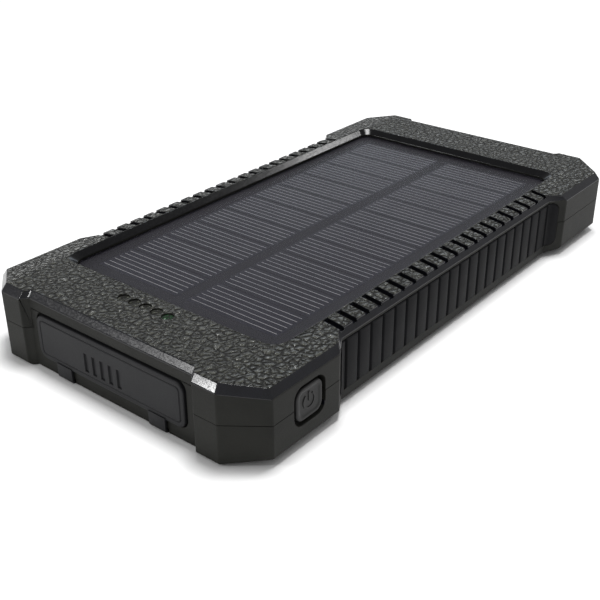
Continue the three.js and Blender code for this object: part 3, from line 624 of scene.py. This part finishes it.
def addBars(bm, face):
    # a plain row of sunk upright bars
    cuts = []
    for i in range(cover["bars"]):
        x = cover["barMiddle"] + (i - (cover["bars"] - 1) / 2) * cover["barPitch"]
        cuts.append((x - cover["barWidth"] / 2, x + cover["barWidth"] / 2))
    planes = [((x, 0, 0), (1, 0, 0)) for pair in cuts for x in pair]
    planes += [((0, 0, cover["barLow"]), (0, 0, 1)), ((0, 0, cover["barHigh"]), (0, 0, 1))]
    level = face.calc_center_median().y
    for place, normal in planes:
        front = [item for item in bm.faces if item.normal.y < -0.999]
        flat = [item for item in front if abs(item.calc_center_median().y - level) < 1e-6]
        around = {edge for item in flat for edge in item.edges}
        corners = {vert for item in flat for vert in item.verts}
        bmesh.ops.bisect_plane(
            bm, geom=[*corners, *around, *flat], plane_co=place, plane_no=normal, dist=1e-7
        )
        bm.normal_update()
    sunk = []
    for item in bm.faces:
        middle = item.calc_center_median()
        inside = any(left < middle.x < right for left, right in cuts)
        if item.normal.y < -0.999 and inside and cover["barLow"] < middle.z < cover["barHigh"]:
            sunk.append(item)
    bmesh.ops.inset_individual(
        bm, faces=sunk, thickness=cover["barSlope"], depth=-cover["barDepth"], use_even_offset=True
    )


addCover()

strapShape = {
    "offset": 13.3 * mm,  # each strap's distance from the middle
    "width": 4.5 * mm,
    "thickness": 0.6 * mm,
    "backY": -66.25 * mm,
    "bendY": -69.45 * mm,
    "bendZ": 0.75 * mm,
    "low": 0.05 * mm,
    "straightTop": 2.0 * mm,
    "top": 3.5 * mm,
    "bendSteps": 5,
    "steps": 12,  # short straight lengths from the straight part up to the strap's top
    "edge": 0.1 * mm,
    "pegHalf": 0.8 * mm,  # the peg that holds the strap's end in the case
    "pegFront": -67.85 * mm,
    "pegBack": -66.27 * mm,
    "pegTop": 1.3 * mm,
    "foldStart": (0, -0.0699, 0.0022),
    "foldEnd": (0, -0.0699, 0.0034),
}


def addStrap(side, middle):
    # a sheet drawn along the strap's outer face, then given its thickness, so no wall is left inside
    bm = bmesh.new()
    half = strapShape["width"] / 2
    backY, low = strapShape["backY"], strapShape["low"]
    ends = [bm.verts.new((middle + reach, backY, low)) for reach in (-half, half)]
    tip = drawOut(bm, bm.edges.new(ends), (0, strapShape["bendY"] - backY, 0))
    turned = bmesh.ops.spin(
        bm, geom=[tip, *tip.verts], cent=(middle, strapShape["bendY"], strapShape["bendZ"]),
        axis=(1, 0, 0), angle=math.radians(-90), steps=strapShape["bendSteps"],
    )
    tip = next(item for item in turned["geom_last"] if isinstance(item, bmesh.types.BMEdge))
    tip = drawOut(bm, tip, (0, 0, strapShape["straightTop"] - strapShape["bendZ"]))
    short = (strapShape["top"] - strapShape["straightTop"]) / strapShape["steps"]
    for _ in range(strapShape["steps"]):
        tip = drawOut(bm, tip, (0, 0, short))
    bmesh.ops.recalc_face_normals(bm, faces=bm.faces)
    bm.normal_update()
    inward = 1 if bm.faces[0].normal.z < 0 else -1
    bmesh.ops.solidify(bm, geom=bm.faces[:], thickness=inward * strapShape["thickness"])
    bmesh.ops.recalc_face_normals(bm, faces=bm.faces)
    long = [edge for edge in bm.edges if edge.calc_face_angle(0) > math.radians(60)]
    bevelEdges(bm, long, strapShape["edge"], 2)
    peg = addBox(
        bm,
        (middle - strapShape["pegHalf"], strapShape["pegFront"], low + strapShape["thickness"] / 2),
        (middle + strapShape["pegHalf"], strapShape["pegBack"], strapShape["pegTop"]),
    )
    bevelEdges(bm, edgesOf(peg), strapShape["edge"], 2)
    piece = addObject("strap_" + side, bm, [look["cover"]], None, ["flap_strap_" + side])
    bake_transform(piece)
    smooth(piece, 40)


def drawOut(bm, edge, move):
    # carries the sheet on from one edge and gives back its new end
    made = bmesh.ops.extrude_edge_only(bm, edges=[edge])["geom"]
    verts = [item for item in made if isinstance(item, bmesh.types.BMVert)]
    bmesh.ops.translate(bm, vec=move, verts=verts)
    edges = [item for item in made if isinstance(item, bmesh.types.BMEdge)]
    return next(item for item in edges if not set(item.verts) & set(edge.verts))


addStrap("left", -strapShape["offset"])
addStrap("right", strapShape["offset"])
print("port cover done")

buttonCap = {
    "radius": 2.0 * mm,
    "thickness": 1.1 * mm,
    "edge": 0.3 * mm,
    "band": 0.4 * mm,
    # inset and fall of each ring of the dish
    "dish": ((0.2 * mm, 0.09 * mm), (0.2 * mm, 0.05 * mm), (0.25 * mm, 0.02 * mm)),
    "stem": 1.3 * mm,
    "ring": 1.55 * mm,
    "line": 0.4 * mm,
    "raised": 0.12 * mm,
    "barTop": 1.9 * mm,
    "root": 0.05 * mm,  # how far the ring and bar start below the dish
    "stemRoot": 0.1 * mm,
    "gap": 70,  # degrees left open at the top of the ring
}


def addButton():
    low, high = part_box("power_button")
    bm = bmesh.new()
    back = high.x - buttonCap["thickness"]
    cap = addBox(bm, (back, low.y, low.z), high)
    bevelEdges(bm, edgesAlong(edgesOf(cap), 0), buttonCap["radius"], 6)
    bm.normal_update()
    face = max(bm.faces, key=lambda item: item.normal.x)
    bevelEdges(bm, list(face.edges), buttonCap["edge"], 3)
    bm.normal_update()
    face = max(bm.faces, key=lambda item: (round(item.normal.x, 3), item.calc_area()))
    for inset, fall in ((buttonCap["band"], 0), *buttonCap["dish"]):
        bmesh.ops.inset_region(bm, faces=[face], thickness=inset, depth=-fall, use_even_offset=True)
    middle = Vector((0, (low.y + high.y) / 2, (low.z + high.z) / 2))
    length = back + buttonCap["stemRoot"] - low.x
    radius = buttonCap["stem"]
    stem = bmesh.ops.create_cone(
        bm, cap_ends=True, segments=24, radius1=radius, radius2=radius, depth=length
    )["verts"]
    bmesh.ops.rotate(bm, cent=(0, 0, 0), matrix=Matrix.Rotation(math.radians(90), 3, "Y"), verts=stem)
    bmesh.ops.translate(bm, vec=(low.x + length / 2, middle.y, middle.z), verts=stem)
    piece = addObject("button_cap", bm, [look["button"]], "button", ["power_button"])
    smooth(piece, 30)
    addPowerMark(high.x - sum(fall for _, fall in buttonCap["dish"]), middle)


def addPowerMark(floorX, middle):
    # a broken ring, swept from its section, and a bar at its gap
    bm = bmesh.new()
    radius, line = buttonCap["ring"], buttonCap["line"]
    start = math.radians(buttonCap["gap"] / 2)
    lowX, highX = floorX - buttonCap["root"], floorX + buttonCap["raised"]
    section = bmesh.ops.create_grid(bm, x_segments=1, y_segments=1, size=0.5)["verts"]
    bmesh.ops.scale(bm, vec=(highX - lowX, line, 1), verts=section)
    bmesh.ops.rotate(bm, cent=(0, 0, 0), matrix=Matrix.Rotation(math.radians(90), 3, "X"), verts=section)
    bmesh.ops.translate(bm, vec=((lowX + highX) / 2, middle.y, middle.z + radius), verts=section)
    bmesh.ops.rotate(bm, cent=middle, matrix=Matrix.Rotation(start, 3, "X"), verts=section)
    sweep = 2 * math.pi - 2 * start
    whole = bm.faces[:] + bm.edges[:] + bm.verts[:]
    bmesh.ops.spin(bm, geom=whole, cent=middle, axis=(1, 0, 0), angle=sweep, steps=40)
    bmesh.ops.remove_doubles(bm, verts=bm.verts, dist=1e-7)
    barTop = middle.z + buttonCap["barTop"]
    addBox(bm, (lowX, middle.y - line / 2, middle.z), (highX, middle.y + line / 2, barTop))
    bmesh.ops.recalc_face_normals(bm, faces=bm.faces)
    smooth(addObject("power_mark", bm, [look["button"]], "button"), 40)


addButton()
print("button done")

contacts = {
    "places": (-3.5 * mm, -1.2 * mm, 1.2 * mm, 3.5 * mm),
    "width": 1.1 * mm,
    "front": 1.6 * mm,
    "length": 8 * mm,
    "height": 0.08 * mm,
    "root": 0.02 * mm,
    "tongueUnder": 2.85 * mm,  # the tongue's underside, below the top of its socket
}


def addContacts():
    # gilt strips under the tongue of each socket
    bm = bmesh.new()
    for name in ("usb_socket_left", "usb_socket_right"):
        low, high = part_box(name)
        middle = (low.x + high.x) / 2
        under = high.z - contacts["tongueUnder"]
        front = low.y + contacts["front"]
        for x in contacts["places"]:
            left = middle + x - contacts["width"] / 2
            addBox(
                bm,
                (left, front, under - contacts["height"]),
                (left + contacts["width"], front + contacts["length"], under + contacts["root"]),
            )
    addObject("socket_contacts", bm, [look["gold"]], "case")


addContacts()
print("sockets done")

cameraSpot = {
    "azimuth": 39.41,  # degrees
    "elevation": 28.4,
    "roll": -0.39,
    "distance": 206.2 * mm,
    "target": Vector((14.29, -29.13, 10.6)) * mm,
    "lens": 59.08,
}


def addCamera():
    azimuth = math.radians(cameraSpot["azimuth"])
    elevation = math.radians(cameraSpot["elevation"])
    roll = math.radians(cameraSpot["roll"])
    back = Vector((
        math.sin(azimuth) * math.cos(elevation),
        -math.cos(azimuth) * math.cos(elevation),
        math.sin(elevation),
    ))
    side = Vector((0, 0, 1)).cross(back).normalized()
    upward = back.cross(side)
    right = side * math.cos(roll) + upward * math.sin(roll)
    up = upward * math.cos(roll) - side * math.sin(roll)
    turn = Matrix((right, up, back)).transposed().to_4x4()
    data = bpy.data.cameras.new("camera")
    data.lens = cameraSpot["lens"]
    data.sensor_width = 36
    data.clip_start = 0.01
    camera = bpy.data.objects.new("camera", data)
    camera.matrix_world = Matrix.Translation(cameraSpot["target"] + back * cameraSpot["distance"]) @ turn
    bpy.context.scene.collection.objects.link(camera)
    bpy.context.scene.camera = camera


studio = {
    "world": 0.4,
    "floorHalf": 3,
    "floorGap": 0.1 * mm,
    "floorTones": ((0.90, 0.90, 0.90), (0.93, 0.93, 0.93)),
    "lights": {
        "overhead": {"place": (0, 0.1, 0.9), "aim": (0, 0, 0), "size": (0.26, 0.26), "watts": 7.5},
        "front": {
            "place": (-0.475, -0.695, 0.35),
            "aim": (0.02, -0.07, 0.016),
            "size": (0.07, 0.17),
            "watts": 1.6,
        },
        "back": {
            "place": (-0.70, 0.82, 0.26),
            "aim": (0, 0.03, 0),
            "size": (1.0, 0.3),
            "watts": 0.9,
            "color": (0.78, 0.88, 1),
        },
        "window": {"place": (0.21, 0.60, 0.48), "aim": (0, 0, 0), "size": (0.1, 0.07), "watts": 0.5},
    },
}


def addFloor():
    bm = bmesh.new()
    bmesh.ops.create_grid(bm, x_segments=1, y_segments=1, size=studio["floorHalf"])
    bmesh.ops.translate(bm, vec=(0, 0, cadBounds[0][2] - studio["floorGap"]), verts=bm.verts)
    paint = Paint("paleFloor")
    cloud = paint.noise(4, 2)
    paint.feed(Base_Color=paint.mix(cloud, *studio["floorTones"]), Roughness=0.7 + cloud * 0.1)
    floor = addObject("floor", bm, [paint.material], None)


def addLight(name, place, aim, size, watts, color=(1, 1, 1)):
    data = bpy.data.lights.new(name, "AREA")
    data.shape = "RECTANGLE"
    data.size = size[0]
    data.size_y = size[1]
    data.energy = watts
    data.color = color
    light = bpy.data.objects.new(name, data)
    light.location = place
    light.rotation_euler = (Vector(aim) - Vector(place)).to_track_quat("-Z", "Y").to_euler()
    bpy.context.scene.collection.objects.link(light)


def addWorld(strength):
    world = bpy.data.worlds.new("studio")
    world.use_nodes = True
    background = world.node_tree.nodes["Background"]
    background.inputs["Color"].default_value = (1, 1, 1, 1)
    background.inputs["Strength"].default_value = strength
    bpy.context.scene.world = world


addCamera()
addFloor()
addWorld(studio["world"])
for name, settings in studio["lights"].items():
    addLight(name, **settings)
bpy.context.scene.view_settings.view_transform = "Standard"
print("stage set")
